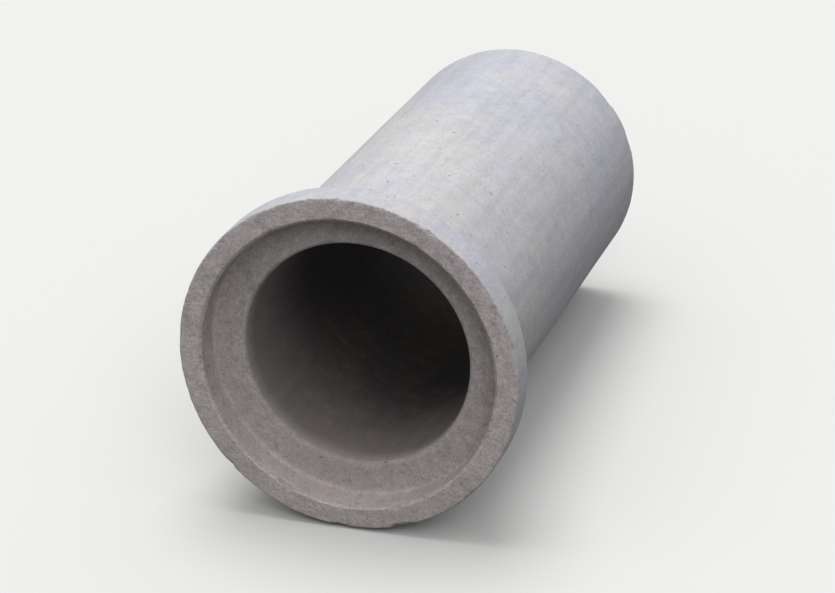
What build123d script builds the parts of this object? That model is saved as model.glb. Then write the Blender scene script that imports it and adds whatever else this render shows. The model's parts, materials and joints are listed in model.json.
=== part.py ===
from build123d import *
import os
from math import asin, atan2, cos, degrees, hypot, radians, sin, tan

# Bell-and-spigot concrete culvert pipe, 400 mm bore, cast in one piece.
# The pipe is one turned solid. Its bell opens towards -Y and its spigot end points towards +Y.
# It lies on a level floor as it would by itself: on the back edge of its bell and on the edge of its
# spigot end, so its axis falls by a few degrees from the bell to the spigot.
# The origin is at the bottom centre of its bounding box, with +Z up.

# Driving dimensions, in millimetres and degrees
bore_diameter = 400
barrel_wall = 47
laying_length = 1000
socket_depth = 55
end_gap = 5
joint_gap = 13
bell_wall = 42
collar_length = 60
flare_angle = 30
collar_round = 20
neck_round = 60
face_round = 4
mouth_chamfer = 5
socket_round = 6
shoulder_round = 8
nose_chamfer = 6
outlet_chamfer = 4

# The pipe's outline: radii from its axis, and stations along it from the bell's face
bore_radius = bore_diameter / 2
barrel_radius = bore_radius + barrel_wall
socket_radius = barrel_radius + joint_gap
bell_radius = socket_radius + bell_wall
flare_length = (bell_radius - barrel_radius) / tan(radians(flare_angle))
neck_station = collar_length + flare_length
pipe_length = laying_length + socket_depth - end_gap

# How the pipe lies: the floor touches the round at the back of the collar and the corner behind the nose chamfer
round_station = collar_length - collar_round * tan(radians(flare_angle) / 2)
round_height = bell_radius - collar_round
corner_station = pipe_length - nose_chamfer
step_down = round_height - barrel_radius
step_along = corner_station - round_station
fall = atan2(step_down, step_along) + asin(collar_round / hypot(step_down, step_along))

# Where the bell's centre stands, so that the bounding box is centred on the origin and stands on the floor
bell_reach = (bell_radius - face_round) * sin(fall) + face_round * (1 - cos(fall))
nose_reach = pipe_length * cos(fall) + (barrel_radius - nose_chamfer) * sin(fall)
bell_centre_y = (bell_reach - nose_reach) / 2
bell_centre_z = corner_station * sin(fall) + barrel_radius * cos(fall)

# The half-section is drawn in this plane: x along the pipe from the bell's face, y out from the axis
section_plane = Plane(
    origin=(0, bell_centre_y, bell_centre_z),
    x_dir=(0, cos(fall), -sin(fall)),
    z_dir=(-1, 0, 0),
)
pipe_axis = Axis(section_plane.origin, section_plane.x_dir)

# Corners of the half-section
mouth = (0, socket_radius)
face_edge = (0, bell_radius)
collar_back = (collar_length, bell_radius)
neck = (neck_station, barrel_radius)
nose = (pipe_length, barrel_radius)
outlet = (pipe_length, bore_radius)
shoulder = (socket_depth, bore_radius)
socket_corner = (socket_depth, socket_radius)

# The rounds and chamfers of those corners
fillets = {
    face_edge: face_round,
    collar_back: collar_round,
    neck: neck_round,
    shoulder: shoulder_round,
    socket_corner: socket_round,
}
chamfers = {
    mouth: mouth_chamfer,
    nose: nose_chamfer,
    outlet: outlet_chamfer,
}

os.makedirs("parts", exist_ok=True)

# The pipe: bell, flare, barrel and spigot end, turned in one piece
with BuildPart() as pipe:
    with BuildSketch(section_plane) as half_section:
        with BuildLine():
            Polyline(mouth, face_edge, collar_back, neck, nose, outlet, shoulder, socket_corner, close=True)
        make_face()
        for corner, radius in fillets.items():
            fillet(half_section.vertices().sort_by_distance(corner)[0], radius)
        for corner, length in chamfers.items():
            chamfer(half_section.vertices().sort_by_distance(corner)[0], length)
    revolve(axis=pipe_axis)
pipe.part.label = "pipe"
export_step(pipe.part, "parts/pipe.step")

print(f"fall {degrees(fall):.3f} degrees, length {pipe_length} mm, barrel {2 * barrel_radius} mm")
print(f"bell {2 * bell_radius} mm, socket {2 * socket_radius} mm, volume {pipe.part.volume / 1e9:.5f} m3")
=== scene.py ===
import json
from math import atan2, ceil, cos, pi, radians, sin, tan
from random import Random

import bmesh
import bpy
from bpy.props import FloatProperty, FloatVectorProperty, IntProperty, PointerProperty
from mathutils import Matrix, Quaternion, Vector, kdtree, noise


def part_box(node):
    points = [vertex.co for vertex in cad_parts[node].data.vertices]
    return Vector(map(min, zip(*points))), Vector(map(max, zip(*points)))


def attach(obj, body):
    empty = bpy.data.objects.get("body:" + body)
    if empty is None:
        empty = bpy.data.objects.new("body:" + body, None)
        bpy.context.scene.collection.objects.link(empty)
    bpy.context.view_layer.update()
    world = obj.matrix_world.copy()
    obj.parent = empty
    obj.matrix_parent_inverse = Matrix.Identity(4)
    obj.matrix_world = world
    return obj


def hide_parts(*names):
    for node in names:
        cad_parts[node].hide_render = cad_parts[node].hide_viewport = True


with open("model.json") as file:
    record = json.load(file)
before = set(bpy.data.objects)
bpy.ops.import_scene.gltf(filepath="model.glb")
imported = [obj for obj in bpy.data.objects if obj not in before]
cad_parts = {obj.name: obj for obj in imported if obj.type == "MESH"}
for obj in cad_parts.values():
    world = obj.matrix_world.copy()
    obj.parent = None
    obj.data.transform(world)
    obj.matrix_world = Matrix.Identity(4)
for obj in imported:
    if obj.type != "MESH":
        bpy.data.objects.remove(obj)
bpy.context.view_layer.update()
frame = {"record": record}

bl_info = {
    "name": "Concrete Culvert Pipe",
    "version": (1, 0, 0),
    "blender": (4, 5, 0),
    "location": "3D View > Sidebar > Culvert Pipe",
    "description": "Makes a bell-and-spigot concrete pipe with worn and chipped rims, and its stage",
    "category": "Add Mesh",
}

# The pipe's axis and its main radii, in metres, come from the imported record's mounts and the node's box.
mounts = {mount["name"]: mount for mount in frame["record"]["mounts"]}
spigot_way = Vector(mounts["bore"]["axis"])
fall = atan2(-spigot_way.z, spigot_way.y)
box_low, box_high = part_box("pipe")


def metres(mount, size):
    """A mount's size, which the record gives in millimetres."""
    return mounts[mount]["dims"][size] / 1000


class CulvertPipeSizes(bpy.types.PropertyGroup):
    """Sizes of the pipe's half-section and of the mesh that is turned from it."""

    bore_radius: FloatProperty(
        name="Bore radius",
        description="Inside of the barrel",
        default=metres("bore", "r_mm"),
        unit="LENGTH",
    )
    barrel_radius: FloatProperty(
        name="Barrel radius",
        description="Outside of the barrel",
        default=metres("spigot", "r_mm"),
        unit="LENGTH",
    )
    socket_radius: FloatProperty(
        name="Socket radius",
        description="Inside of the bell",
        default=metres("socket", "r_mm"),
        unit="LENGTH",
    )
    bell_radius: FloatProperty(
        name="Bell radius",
        description="Outside of the bell",
        default=(box_high.x - box_low.x) / 2,
        unit="LENGTH",
    )
    socket_length: FloatProperty(
        name="Socket length",
        description="Straight part of the socket",
        default=metres("socket", "length_mm"),
        unit="LENGTH",
    )
    bore_length: FloatProperty(
        name="Bore length",
        description="Straight part of the bore",
        default=metres("bore", "length_mm"),
        unit="LENGTH",
    )
    collar_length: FloatProperty(
        name="Collar length",
        description="From the bell's face to the start of the flare",
        default=0.060,
        unit="LENGTH",
    )
    flare_angle: FloatProperty(
        name="Flare angle",
        description="Slope of the flare to the axis",
        default=radians(30),
        subtype="ANGLE",
        unit="ROTATION",
    )
    collar_round: FloatProperty(
        name="Collar round",
        description="Round where the flare starts",
        default=0.020,
        unit="LENGTH",
    )
    neck_round: FloatProperty(
        name="Neck round",
        description="Round where the flare ends",
        default=0.060,
        unit="LENGTH",
    )
    face_round: FloatProperty(
        name="Face round",
        description="Round of the face's outer edge",
        default=0.004,
        unit="LENGTH",
    )
    mouth_chamfer: FloatProperty(
        name="Mouth chamfer",
        description="Chamfer of the socket's mouth",
        default=0.005,
        unit="LENGTH",
    )
    socket_round: FloatProperty(
        name="Socket round",
        description="Round in the socket's corner",
        default=0.006,
        unit="LENGTH",
    )
    shoulder_round: FloatProperty(
        name="Shoulder round",
        description="Round of the bore's edge",
        default=0.008,
        unit="LENGTH",
    )
    nose_chamfer: FloatProperty(
        name="Nose chamfer",
        description="Chamfer of the spigot's edge",
        default=0.006,
        unit="LENGTH",
    )
    outlet_chamfer: FloatProperty(
        name="Outlet chamfer",
        description="Chamfer of the bore's far edge",
        default=0.004,
        unit="LENGTH",
    )
    steps_round: IntProperty(
        name="Steps round",
        description="Faces round the pipe, in eights",
        default=480,
        min=24,
        step=8,
    )
    fine_length: FloatProperty(
        name="Fine length",
        description="Finely meshed end of the spigot",
        default=0.028,
        unit="LENGTH",
    )
    rim_mesh: FloatProperty(
        name="Rim mesh",
        description="Longest face at the rims",
        default=0.0027,
        unit="LENGTH",
    )
    bell_mesh: FloatProperty(
        name="Bell mesh",
        description="Longest face in the bell",
        default=0.0048,
        unit="LENGTH",
    )
    barrel_mesh: FloatProperty(
        name="Barrel mesh",
        description="Longest face along the barrel",
        default=0.026,
        unit="LENGTH",
    )
    sharp_angle: FloatProperty(
        name="Sharp angle",
        description="Bend from which an edge is shaded as sharp",
        default=radians(33),
        subtype="ANGLE",
        unit="ROTATION",
    )
    wear_depth: FloatProperty(
        name="Wear depth",
        description="How deep the rims are worn, apart from the chips",
        default=0.0016,
        unit="LENGTH",
    )
    seed: IntProperty(
        name="Seed",
        description="Picks the places of the chips",
        default=11,
    )


class CulvertConcreteLook(bpy.types.PropertyGroup):
    """Colours and relief of the as-cast concrete, and the shade painted in its socket and bore."""

    pale: FloatVectorProperty(
        name="Pale cement",
        description="Cement skin in the cool patches",
        default=(0.572, 0.580, 0.640),
        subtype="COLOR",
    )
    warm: FloatVectorProperty(
        name="Warm cement",
        description="Cement skin in the warm patches",
        default=(0.590, 0.580, 0.592),
        subtype="COLOR",
    )
    struck: FloatVectorProperty(
        name="Struck concrete",
        description="Coarser face and spigot end",
        default=(0.680, 0.618, 0.624),
        subtype="COLOR",
    )
    # Struck concrete made darker, as painted shade in the socket, on the shoulder and in the bore
    painted_recess_shade: FloatVectorProperty(
        name="Concrete in painted shade",
        description="Socket, shoulder and bore",
        default=(0.570, 0.521, 0.523),
        subtype="COLOR",
    )
    broken: FloatVectorProperty(
        name="Broken concrete",
        description="Inside of a chip",
        default=(0.500, 0.472, 0.455),
        subtype="COLOR",
    )
    soil: FloatVectorProperty(
        name="Soil",
        description="Dried soil and dust",
        default=(0.360, 0.290, 0.220),
        subtype="COLOR",
    )
    # Painted shade that darkens the bore more towards its middle
    painted_bore_shade: FloatProperty(
        name="Bore shade",
        description="How much darker the bore is in its middle",
        default=0.86,
        min=0,
        max=1,
        subtype="FACTOR",
    )
    roughness: FloatProperty(
        name="Roughness",
        description="Of the cement skin",
        default=0.84,
        min=0,
        max=1,
        subtype="FACTOR",
    )
    specular: FloatProperty(
        name="Specular",
        description="Shine of the cement skin",
        default=0.28,
        min=0,
        max=1,
        subtype="FACTOR",
    )
    relief: FloatProperty(
        name="Relief",
        description="Strength of the grain and the pits",
        default=1.0,
        min=0,
        max=2,
    )


class CulvertStageSettings(bpy.types.PropertyGroup):
    """Floor, light and camera."""

    floor_colour: FloatVectorProperty(
        name="Floor colour",
        description="As the camera sees it",
        default=(0.80, 0.80, 0.79),
        subtype="COLOR",
    )
    floor_radius: FloatProperty(
        name="Floor radius",
        description="Far enough to meet the backdrop behind the pipe",
        default=40.0,
        unit="LENGTH",
    )
    floor_bounce: FloatVectorProperty(
        name="Floor bounce",
        description="What the floor throws back on the pipe",
        default=(0.11, 0.106, 0.102),
        subtype="COLOR",
    )
    horizon_level: FloatProperty(
        name="Horizon level",
        description="Light from low down",
        default=0.05,
        min=0,
    )
    zenith_level: FloatProperty(
        name="Zenith level",
        description="Light from overhead",
        default=0.74,
        min=0,
    )
    horizon_height: FloatProperty(
        name="Horizon height",
        description="Upward part of a direction where the light starts to grow",
        default=0.05,
        min=0,
        max=1,
    )
    zenith_height: FloatProperty(
        name="Zenith height",
        description="Upward part of a direction where the light is at its full level",
        default=0.85,
        min=0,
        max=1,
    )
    key_level: FloatProperty(
        name="Key level",
        description="Share of the key light",
        default=0.44,
        min=0,
    )
    key_way: FloatVectorProperty(
        name="Key way",
        description="Way to the key lamp, almost overhead",
        default=(-0.12, 0.16, 0.98),
        subtype="DIRECTION",
    )
    key_softness: FloatProperty(
        name="Key softness",
        description="How wide the key lamp looks from the pipe",
        default=radians(36),
        subtype="ANGLE",
        unit="ROTATION",
    )
    fill_level: FloatProperty(
        name="Fill level",
        description="Share of the fill light",
        default=0.15,
        min=0,
    )
    fill_way: FloatVectorProperty(
        name="Fill way",
        description="Way to the fill lamp, high in front of the bell and on its right",
        default=(0.42, -0.66, 0.62),
        subtype="DIRECTION",
    )
    fill_softness: FloatProperty(
        name="Fill softness",
        description="How wide the fill lamp looks from the pipe",
        default=radians(30),
        subtype="ANGLE",
        unit="ROTATION",
    )
    azimuth: FloatProperty(
        name="Azimuth",
        description="Way to the camera from the bell, from straight in front of it",
        default=radians(20.5),
        subtype="ANGLE",
        unit="ROTATION",
    )
    elevation: FloatProperty(
        name="Elevation",
        description="Height of that way above the level",
        default=radians(27),
        subtype="ANGLE",
        unit="ROTATION",
    )
    lean: FloatProperty(
        name="Lean",
        description="How far upright lines lean in the picture",
        default=radians(2),
        subtype="ANGLE",
        unit="ROTATION",
    )
    distance: FloatProperty(
        name="Distance",
        description="From the bell to the camera",
        default=4.36,
        unit="LENGTH",
    )
    aim: FloatVectorProperty(
        name="Aim",
        description="Point that the camera looks at",
        default=(0, -0.13, 0.255),
        subtype="TRANSLATION",
    )
    lens: FloatProperty(
        name="Lens",
        description="Focal length in millimetres",
        default=112,
    )


class Field:
    """A shader socket that joins in sums: each operator adds the Math node that it stands for."""

    def __init__(self, finish, socket):
        self.finish = finish
        self.socket = socket

    def maths(self, operation, *values):
        return self.finish.node("ShaderNodeMath", {"operation": operation}, dict(enumerate(values)))

    def __add__(self, other):
        return self.maths("ADD", self, other)

    def __sub__(self, other):
        return self.maths("SUBTRACT", self, other)

    def __rsub__(self, other):
        return self.maths("SUBTRACT", other, self)

    def __mul__(self, other):
        return self.maths("MULTIPLY", self, other)

    def __pow__(self, other):
        return self.maths("POWER", self, other)

    __radd__ = __add__
    __rmul__ = __mul__

    def larger(self, other):
        return self.maths("MAXIMUM", self, other)

    def rise(self, start, end):
        """0 up to start, 1 from end on, and smooth in between. It falls where start is over end."""
        if start > end:
            return 1 - self.rise(end, start)
        values = {"Value": self, "From Min": start, "From Max": end}
        return self.finish.node("ShaderNodeMapRange", {"interpolation_type": "SMOOTHSTEP"}, values, "Result")


class Finish:
    """The nodes of one material, or of the world."""

    def __init__(self, holder):
        self.holder = holder
        holder.use_nodes = True
        self.tree = holder.node_tree
        self.tree.nodes.clear()

    def node(self, kind, settings=None, values=None, output=0):
        """Adds a node, sets it up, fills or links its sockets, and gives one or more outputs as Fields."""
        node = self.tree.nodes.new(kind)
        for name, setting in (settings or {}).items():
            setattr(node, name, setting)
        for name, value in (values or {}).items():
            if isinstance(value, Field):
                self.tree.links.new(value.socket, node.inputs[name])
            else:
                node.inputs[name].default_value = value
        if isinstance(output, tuple):
            return [Field(self, node.outputs[name]) for name in output]
        return None if output is None else Field(self, node.outputs[output])

    def noise(self, place, scale, detail=3.0, roughness=0.55):
        """Fractal noise about 0, from about -0.5 to 0.5, with scale in lumps per metre."""
        values = {"Vector": place, "Scale": scale, "Detail": detail, "Roughness": roughness}
        return self.node("ShaderNodeTexNoise", None, values, "Fac") - 0.5

    def stretched(self, place, x, y, z):
        """A place with its coordinates scaled, which stretches a pattern where the number is under 1."""
        return self.node("ShaderNodeVectorMath", {"operation": "MULTIPLY"}, {0: place, 1: (x, y, z)})

    def blend(self, share, first, second):
        """A colour between two, by a share from 0 to 1."""
        values = {0: share, 6: first, 7: second}
        return self.node("ShaderNodeMix", {"data_type": "RGBA", "clamp_factor": True}, values, 2)

    def scaled(self, colour, factor):
        """A colour made lighter or darker by a factor."""
        return self.node("ShaderNodeVectorMath", {"operation": "SCALE"}, {0: colour, "Scale": factor})

    def surface(self, shader):
        """Joins the last shader to the output, and gives back what holds the nodes."""
        kind = "World" if isinstance(self.holder, bpy.types.World) else "Material"
        self.node(f"ShaderNodeOutput{kind}", None, {"Surface": shader}, None)
        return self.holder


def rgba(colour):
    return (*colour, 1.0)


def grains(finish, place, cells):
    """Grains or stones: how far a point is from its grain's middle, and a number from 0 to 1 for each."""
    settings = {"voronoi_dimensions": "3D", "feature": "F1"}
    values = {"Vector": place, "Scale": cells, "Randomness": 1.0}
    distance, colour = finish.node("ShaderNodeTexVoronoi", settings, values, ("Distance", "Color"))
    return distance, finish.node("ShaderNodeSeparateColor", None, {"Color": colour}, "Red")


def air_pits(finish, place, cells, size, share):
    """Small round holes that air leaves in a cast surface: 1 in a hole's middle and 0 beside it."""
    distance, pick = grains(finish, place, cells)
    return distance.rise(size, size * 0.45) * pick.rise(1 - share, 1 - share + 0.02)


def between(station, stations, in_front, behind):
    """1 well inside the bore, and 0 at its shoulder and at its far end, with the lengths of both changes."""
    from_shoulder = station.rise(stations["socket"], stations["socket"] + in_front)
    return from_shoulder * station.rise(stations["end"], stations["end"] - behind)


def zones(finish, sizes, stations, place, ragged):
    """Shares from 0 to 1 of the pipe's parts that a point belongs to, with borders made uneven by ragged."""
    x, station, z = finish.node("ShaderNodeSeparateXYZ", None, {0: place}, ("X", "Y", "Z"))
    radius = (x * x + z * z) ** 0.5
    mouth = sizes.socket_radius + 0.006
    shoulder = stations["socket"] + 0.003
    bore = sizes.bore_radius + 0.001
    struck_most, struck_least = 0.0015, 0.0045
    uneven = station + ragged * 0.3
    socket = (radius + ragged * 0.2).rise(mouth + 0.002, mouth) * station.rise(shoulder + 0.006, shoulder)
    face = uneven.rise(struck_least, struck_most)
    spigot_end = uneven.rise(stations["end"] - struck_least, stations["end"] - struck_most)
    return {
        "bore": radius.rise(sizes.bore_radius + sizes.shoulder_round, bore),
        "inside": between(station + ragged * 1.5, stations, in_front=0.05, behind=0.05),
        "deep": between(station, stations, in_front=0.35, behind=0.25),
        "socket": socket,
        "struck": face.larger(spigot_end),
        "under": z.rise(0.02, -sizes.bell_radius),
    }


def concrete(look, sizes, stations):
    """As-cast concrete: cool and warm cement skin, coarser ends, sand, air pits, chips and soil, with painted
    shade in the socket, the bore and the pits.
    """
    finish = Finish(bpy.data.materials.new("as_cast_concrete"))
    coordinates = finish.node("ShaderNodeTexCoord", None, None, "Object")
    lies = pipe_frame(sizes)
    mapping = {"Vector": coordinates, "Location": lies.to_translation(), "Rotation": lies.to_euler()}
    place = finish.node("ShaderNodeMapping", {"vector_type": "TEXTURE"}, mapping)
    broken = finish.node("ShaderNodeAttribute", {"attribute_name": "broken"}, None, "Fac")

    # Patterns, from the largest to the finest. The first number of each is its lumps in a metre.
    clouds = finish.noise(place, 3.1, 3)
    patches = finish.noise(finish.stretched(place, 1.0, 0.6, 1.0), 8.5, 4, 0.6)
    mottle = finish.noise(place, 34.0, 4, 0.62)
    streaks = finish.noise(finish.stretched(place, 1.0, 0.05, 1.0), 46.0, 4)
    pits = air_pits(finish, place, 60.0, 0.16, 0.16) * clouds.rise(-0.12, 0.1)
    stones = grains(finish, place, 120.0)[1] - 0.5
    pinholes = air_pits(finish, place, 165.0, 0.24, 0.22)
    speckle = finish.noise(place, 170.0, 3, 0.65)
    grit = grains(finish, place, 430.0)[1] - 0.5
    sand = finish.noise(place, 640.0, 2)
    zone = zones(finish, sizes, stations, place, mottle * 0.010 + speckle * 0.004)
    struck = zone["struck"]
    coarse = struck.larger(zone["socket"])

    # Colour of the concrete, with painted shade in the socket, the bore and the air pits. The number beside a
    # pattern is how far it lightens and darkens the skin.
    skin = finish.blend((clouds * 1.4 + patches).rise(-0.16, 0.22), rgba(look.pale), rgba(look.warm))
    # The socket, shoulder and bore take the darker colour as painted shade
    skin = finish.blend(zone["socket"].larger(zone["bore"]), skin, rgba(look.painted_recess_shade))
    skin = finish.blend(struck, skin, rgba(look.struck))
    tone = 1 + clouds * 0.20 + patches * 0.18 + mottle * 0.34 + streaks * 0.34
    tone = tone + speckle * 0.36 + grit * 0.10 + sand * 0.50
    tone = tone + coarse * (mottle * 0.30 + stones * 0.10 + speckle * 0.30 + grit * 0.16)
    # Air pits and pinholes are darkened as painted shade in the holes
    tone = tone * (1 - pits * 0.50) * (1 - pinholes * 0.20)
    # Painted shade in the bore, growing in three steps: everywhere, past its shoulder, and deep in
    painted_bore_shade_steps = 0.2 + zone["inside"] * 0.35 + zone["deep"] * 0.45
    tone = tone * (1 - zone["bore"] * look.painted_bore_shade * painted_bore_shade_steps)
    colour = finish.scaled(skin, tone)

    # Chips, soil under the pipe, and dust in patches
    fresh = finish.scaled(tuple(look.broken), 1 + speckle * 1.6 + sand * 0.9)
    colour = finish.blend(broken.rise(0.1, 0.9) * 0.85, colour, fresh)
    low = zone["under"] * (patches + mottle * 0.8 + 0.35).rise(0.1, 0.7)
    dust = (patches * 0.8 + mottle + speckle * 0.5).rise(0.16, 0.46) * (0.12 + struck * 0.12)
    soil = finish.scaled(tuple(look.soil), 1 + mottle * 0.9 + sand * 0.6)
    colour = finish.blend(low * 0.40 + dust, colour, soil)

    # Relief, in millimetres
    grain = sand * 0.20 + speckle * 0.55 + mottle * 1.1
    height = grain * (1 + coarse * 1.2 + broken * 2.2) + streaks * 0.5 - pits * 1.4 - pinholes * 0.6
    millimetres = {"Strength": 1.0, "Distance": 0.001, "Height": height * look.relief}
    bump = finish.node("ShaderNodeBump", None, millimetres, "Normal")
    roughness = look.roughness + mottle * 0.25 + speckle * 0.20 + broken * 0.10
    values = {"Base Color": colour, "Roughness": roughness, "Normal": bump}
    values["Specular IOR Level"] = look.specular
    return finish.surface(finish.node("ShaderNodeBsdfPrincipled", None, values))


def pipe_frame(sizes):
    """Where the pipe lies: the middle of the bell's face, with +Y along the axis to the spigot."""
    socket = mounts["socket"]
    to_mouth = Vector(socket["axis"]) * (sizes.socket_length / 2 + sizes.mouth_chamfer)
    return Matrix.Translation(Vector(socket["pos_m"]) + to_mouth) @ Matrix.Rotation(-fall, 4, "X")


def half_section(sizes):
    """The half-section's corners, and its named stations along the axis from the bell's face.

    A corner is its station, its radius, the reach of its round or chamfer, and the segments in that.
    """
    socket_depth = sizes.mouth_chamfer + sizes.socket_length + sizes.socket_round
    neck_station = sizes.collar_length + (sizes.bell_radius - sizes.barrel_radius) / tan(sizes.flare_angle)
    end_station = socket_depth + sizes.shoulder_round + sizes.bore_length + sizes.outlet_chamfer
    fine_station = end_station - sizes.fine_length
    flare_half = tan(sizes.flare_angle / 2)
    corners = [
        (0.0, sizes.socket_radius, sizes.mouth_chamfer, 1),
        (0.0, sizes.bell_radius, sizes.face_round, 4),
        (sizes.collar_length, sizes.bell_radius, sizes.collar_round * flare_half, 4),
        (neck_station, sizes.barrel_radius, sizes.neck_round * flare_half, 6),
        (fine_station, sizes.barrel_radius, 0.0, 0),
        (end_station, sizes.barrel_radius, sizes.nose_chamfer, 1),
        (end_station, sizes.bore_radius, sizes.outlet_chamfer, 1),
        (fine_station, sizes.bore_radius, 0.0, 0),
        (socket_depth, sizes.bore_radius, sizes.shoulder_round, 5),
        (socket_depth, sizes.socket_radius, sizes.socket_round, 4),
    ]
    return corners, {"socket": socket_depth, "neck": neck_station, "fine": fine_station, "end": end_station}


def section_wire(sizes, corners, stations):
    """The half-section as a closed wire, rounded and chamfered, and finer at the rims and in the bell."""
    bm = bmesh.new()
    wire = [bm.verts.new((radius, station, 0)) for station, radius, _, _ in corners]
    for start, end in zip(wire, wire[1:] + wire[:1]):
        bm.edges.new((start, end))
    for corner, (_, _, reach, segments) in zip(wire, corners):
        if segments:
            bmesh.ops.bevel(
                bm,
                geom=[corner],
                offset=reach,
                offset_type="OFFSET",
                affect="VERTICES",
                segments=segments,
                profile=0.5,
                material=-1,
            )
    for edge in list(bm.edges):
        station = (edge.verts[0].co.y + edge.verts[1].co.y) / 2
        spacing = sizes.bell_mesh if station < stations["neck"] else sizes.barrel_mesh
        if station < sizes.mouth_chamfer or station > stations["fine"]:
            spacing = sizes.rim_mesh
        cuts = ceil(edge.calc_length() / spacing) - 1
        if cuts > 0:
            bmesh.ops.subdivide_edges(bm, edges=[edge], cuts=cuts)
    return bm


def turned_shell(sizes, corners, stations):
    """The pipe as a closed shell. An eighth is spun about +Y, and three doublings make the whole from it."""
    bm = section_wire(sizes, corners, stations)
    eighth = pi / 4
    merge_distance = 1e-5
    bmesh.ops.spin(
        bm,
        geom=bm.verts[:] + bm.edges[:],
        cent=(0, 0, 0),
        axis=(0, 1, 0),
        dvec=(0, 0, 0),
        angle=eighth,
        steps=sizes.steps_round // 8,
        use_merge=False,
        use_normal_flip=False,
        use_duplicate=False,
    )
    for turn in (eighth, eighth * 2, eighth * 4):
        copy = bmesh.ops.duplicate(bm, geom=bm.verts[:] + bm.edges[:] + bm.faces[:])
        copied = [item for item in copy["geom"] if isinstance(item, bmesh.types.BMVert)]
        bmesh.ops.rotate(bm, verts=copied, cent=(0, 0, 0), matrix=Matrix.Rotation(turn, 3, "Y"))
    bmesh.ops.remove_doubles(bm, verts=bm.verts[:], dist=merge_distance)
    bmesh.ops.recalc_face_normals(bm, faces=bm.faces[:])
    sort_faces(bm)
    return bm


def sort_faces(bm):
    """Puts the faces in the order of their vertices, as the spin leaves them in another order in each run."""
    bm.verts.index_update()
    ordered = sorted(bm.faces, key=lambda face: sorted(vert.index for vert in face.verts))
    for number, face in enumerate(ordered):
        face.index = number
    bm.faces.sort()


def rims(sizes, stations):
    """The four rims.

    A rim is its station, its radius, its ways out along and across the axis, the width of its cut corner, and
    the number of its chips.
    """
    return [
        (0.0, sizes.bell_radius, -1, 1, sizes.face_round, 34),
        (0.0, sizes.socket_radius, -1, -1, sizes.mouth_chamfer, 20),
        (stations["end"], sizes.barrel_radius, 1, 1, sizes.nose_chamfer, 30),
        (stations["end"], sizes.bore_radius, 1, -1, sizes.outlet_chamfer, 14),
    ]


def lumps(place, per_metre):
    """Smooth noise from about -1 to 1, with so many lumps per metre."""
    return noise.noise(place * per_metre)


def weather(bm, sizes, stations):
    """Moves the surface in by a small uneven depth, which is larger on the struck ends and the worn rims."""
    skin_depth = 0.0006
    struck_depth = 0.0005
    struck_reach = 0.006
    wear_reach = 0.009
    edges = [(station, radius) for station, radius, *_ in rims(sizes, stations)]
    bm.normal_update()
    for vert in bm.verts:
        place = vert.co.copy()
        radius = (place.x ** 2 + place.z ** 2) ** 0.5
        gap = min(((place.y - station) ** 2 + (radius - edge) ** 2) ** 0.5 for station, edge in edges)
        worn = max(0.0, 1 - gap / wear_reach)
        crumbling = max(0.0, 0.05 + lumps(place, 55) + 0.8 * lumps(place, 140))
        depth = skin_depth * (1 + 0.67 * lumps(place, 7) + 0.33 * lumps(place, 23))
        depth += sizes.wear_depth * worn * crumbling
        struck = max(0.0, 1 - min(place.y, stations["end"] - place.y) / struck_reach)
        depth += struck_depth * struck * (1.6 + lumps(place, 60) + 0.6 * lumps(place, 150))
        vert.co = place - vert.normal * depth


def chip(bm, tree, broken, corner, outwards, along, size, depth):
    """Pushes the surface out of a lumpy ball at the rim, as a flake breaks away, and marks it as broken."""
    longest_reach = 2.6
    squash = 0.5
    deepest_step = 1.6
    fully_broken = 0.0012
    least_length = 1e-9
    centre = corner + outwards * (size - depth)
    for _, index, _ in tree.find_range(centre, size * longest_reach):
        vert = bm.verts[index]
        away = vert.co - centre
        squashed = away - along * (away.dot(along) * squash)
        reach = size * (1 + 0.22 * lumps(vert.co, 70) + 0.12 * lumps(vert.co, 190))
        if least_length < squashed.length < reach:
            step = away * (reach / squashed.length - 1)
            step = step.normalized() * min(step.length, depth * deepest_step)
            vert.co += step - along * step.dot(along)
            vert[broken] = max(vert[broken], min(1.0, step.length / fully_broken))


def chip_rims(bm, sizes, stations):
    """Chips the four rims at seeded places, a few of them large, and smooths the broken surface."""
    # A chip's size in metres from least to most, and its depth as a share of that
    large_chip = ((0.014, 0.022), (0.22, 0.34))
    small_chip = ((0.005, 0.011), (0.2, 0.4))
    large_chips = 3
    lengthways_share = (0.5, 1.5)
    broken = bm.verts.layers.float.new("broken")
    bm.verts.ensure_lookup_table()
    tree = kdtree.KDTree(len(bm.verts))
    for index, vert in enumerate(bm.verts):
        tree.insert(vert.co, index)
    tree.balance()
    pick = Random(sizes.seed)
    for station, radius, lengthways, sideways, cut, count in rims(sizes, stations):
        for number in range(count):
            turn = pick.uniform(0, 2 * pi)
            radial = Vector((sin(turn), 0, cos(turn)))
            along = Vector((cos(turn), 0, -sin(turn)))
            outwards = radial * sideways + Vector((0, lengthways, 0)) * pick.uniform(*lengthways_share)
            size_range, depth_range = large_chip if number < large_chips else small_chip
            size = pick.uniform(*size_range)
            depth = size * pick.uniform(*depth_range)
            corner = radial * (radius - sideways * cut / 2) + Vector((0, station, 0))
            chip(bm, tree, broken, corner, outwards.normalized(), along, size, depth)
    bitten = [
        vert for vert in bm.verts
        if any(near[broken] for edge in vert.link_edges for near in edge.verts)
    ]
    bmesh.ops.smooth_vert(bm, verts=bitten, factor=0.5, use_axis_x=True, use_axis_y=True, use_axis_z=True)


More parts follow.
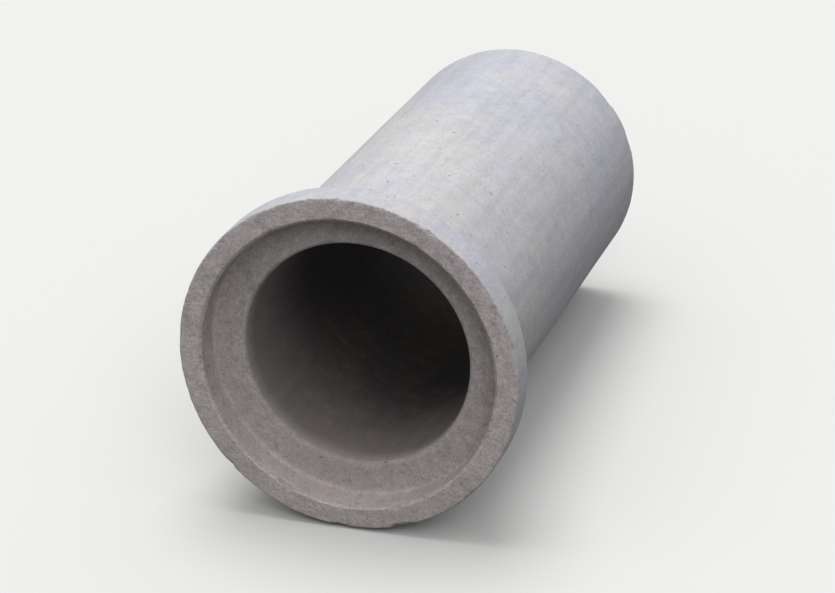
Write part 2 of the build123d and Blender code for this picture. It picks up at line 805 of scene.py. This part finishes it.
class CULVERT_OT_pipe(bpy.types.Operator):
    """Make the concrete pipe in place of its plain CAD solid"""

    bl_idname = "culvert.pipe"
    bl_label = "Concrete Pipe"

    def execute(self, context):
        sizes = context.scene.culvert_sizes
        corners, stations = half_section(sizes)
        bm = turned_shell(sizes, corners, stations)
        weather(bm, sizes, stations)
        chip_rims(bm, sizes, stations)
        bmesh.ops.transform(bm, matrix=pipe_frame(sizes), verts=bm.verts[:])
        bmesh.ops.recalc_face_normals(bm, faces=bm.faces[:])
        mesh = bpy.data.meshes.new("concrete_pipe")
        bm.to_mesh(mesh)
        bm.free()
        mesh.shade_smooth()
        mesh.set_sharp_from_angle(angle=sizes.sharp_angle)
        mesh.materials.append(concrete(context.scene.culvert_look, sizes, stations))
        piece = bpy.data.objects.new("concrete_pipe", mesh)
        context.scene.collection.objects.link(piece)
        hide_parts("pipe")
        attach(piece, "root")
        return {"FINISHED"}


def seen_directly(finish):
    """1 for what the camera, a reflection or a see-through piece shows, and 0 for light on the pipe."""
    outputs = ("Is Camera Ray", "Is Glossy Ray", "Is Transmission Ray")
    camera, glossy, transmission = finish.node("ShaderNodeLightPath", None, None, outputs)
    return camera.larger(glossy).larger(transmission)


def floor_finish(settings):
    """A matt floor that looks pale and throws less light back on the pipe."""
    finish = Finish(bpy.data.materials.new("studio_floor"))
    colour = finish.blend(seen_directly(finish), rgba(settings.floor_bounce), rgba(settings.floor_colour))
    return finish.surface(finish.node("ShaderNodeBsdfDiffuse", None, {"Color": colour}))


def studio_sky(settings):
    """Soft light from overhead that weakens towards the horizon, behind a backdrop in the floor's colour."""
    finish = Finish(bpy.data.worlds.new("studio_sky"))
    direction = finish.node("ShaderNodeTexCoord", None, None, "Generated")
    height = finish.node("ShaderNodeSeparateXYZ", None, {0: direction}, "Z")
    span = settings.zenith_level - settings.horizon_level
    level = settings.horizon_level + height.rise(settings.horizon_height, settings.zenith_height) * span
    light = finish.node("ShaderNodeBackground", None, {"Color": rgba((1, 1, 1)), "Strength": level})
    backdrop = finish.node("ShaderNodeBackground", None, {"Color": rgba(settings.floor_colour)})
    both = {0: seen_directly(finish), 1: light, 2: backdrop}
    return finish.surface(finish.node("ShaderNodeMixShader", None, both))


def add_lamp(name, way, level, softness):
    """A lamp as far off as the sun. At level 1 it shows a colour that faces it as written."""
    lamp = bpy.data.lights.new(name, "SUN")
    lamp.energy = level * pi
    lamp.angle = softness
    holder = bpy.data.objects.new(name, lamp)
    holder.rotation_euler = Vector(way).to_track_quat("Z", "Y").to_euler()
    bpy.context.scene.collection.objects.link(holder)


def add_floor(settings):
    """A round floor that meets the backdrop far behind the pipe."""
    bm = bmesh.new()
    bmesh.ops.create_circle(bm, cap_ends=True, segments=96, radius=settings.floor_radius)
    mesh = bpy.data.meshes.new("floor")
    bm.to_mesh(mesh)
    bm.free()
    mesh.materials.append(floor_finish(settings))
    floor = bpy.data.objects.new("floor", mesh)
    bpy.context.scene.collection.objects.link(floor)


def add_camera(settings, bell):
    """A camera that stands off the bell's middle at the photograph's angle."""
    camera = bpy.data.objects.new("camera", bpy.data.cameras.new("camera"))
    bpy.context.scene.collection.objects.link(camera)
    level = cos(settings.elevation)
    way = Vector((sin(settings.azimuth) * level, -cos(settings.azimuth) * level, sin(settings.elevation)))
    camera.location = bell + way * settings.distance
    look = Vector(settings.aim) - camera.location
    camera.rotation_mode = "QUATERNION"
    camera.rotation_quaternion = look.to_track_quat("-Z", "Y") @ Quaternion((0, 0, 1), -settings.lean)
    camera.data.lens = settings.lens
    bpy.context.scene.camera = camera


class CULVERT_OT_stage(bpy.types.Operator):
    """Make the floor, the lights and the camera"""

    bl_idname = "culvert.stage"
    bl_label = "Stage"

    def execute(self, context):
        settings = context.scene.culvert_stage
        add_floor(settings)
        context.scene.world = studio_sky(settings)
        add_lamp("key", settings.key_way, settings.key_level, settings.key_softness)
        add_lamp("fill", settings.fill_way, settings.fill_level, settings.fill_softness)
        add_camera(settings, pipe_frame(context.scene.culvert_sizes).to_translation())
        context.scene.view_settings.view_transform = "Standard"
        return {"FINISHED"}


class CULVERT_PT_panel(bpy.types.Panel):
    """Lists the pieces and their sizes"""

    bl_idname = "CULVERT_PT_panel"
    bl_label = "Culvert Pipe"
    bl_space_type = "VIEW_3D"
    bl_region_type = "UI"
    bl_category = "Culvert Pipe"

    def draw(self, context):
        self.list_settings(context.scene.culvert_sizes, CULVERT_OT_pipe)
        self.list_settings(context.scene.culvert_look)
        self.list_settings(context.scene.culvert_stage, CULVERT_OT_stage)

    def list_settings(self, settings, operator=None):
        """One box with an operator's button, if there is one, and the settings below it."""
        box = self.layout.box()
        if operator:
            box.operator(operator.bl_idname)
        for name in settings.__annotations__:
            box.prop(settings, name)


classes = (
    CulvertPipeSizes,
    CulvertConcreteLook,
    CulvertStageSettings,
    CULVERT_OT_pipe,
    CULVERT_OT_stage,
    CULVERT_PT_panel,
)


def register():
    for item in classes:
        bpy.utils.register_class(item)
    bpy.types.Scene.culvert_sizes = PointerProperty(type=CulvertPipeSizes)
    bpy.types.Scene.culvert_look = PointerProperty(type=CulvertConcreteLook)
    bpy.types.Scene.culvert_stage = PointerProperty(type=CulvertStageSettings)


def unregister():
    del bpy.types.Scene.culvert_stage
    del bpy.types.Scene.culvert_look
    del bpy.types.Scene.culvert_sizes
    for item in reversed(classes):
        bpy.utils.unregister_class(item)


def main():
    register()
    bpy.ops.culvert.pipe()
    bpy.ops.culvert.stage()


if __name__ == "__main__":
    main()
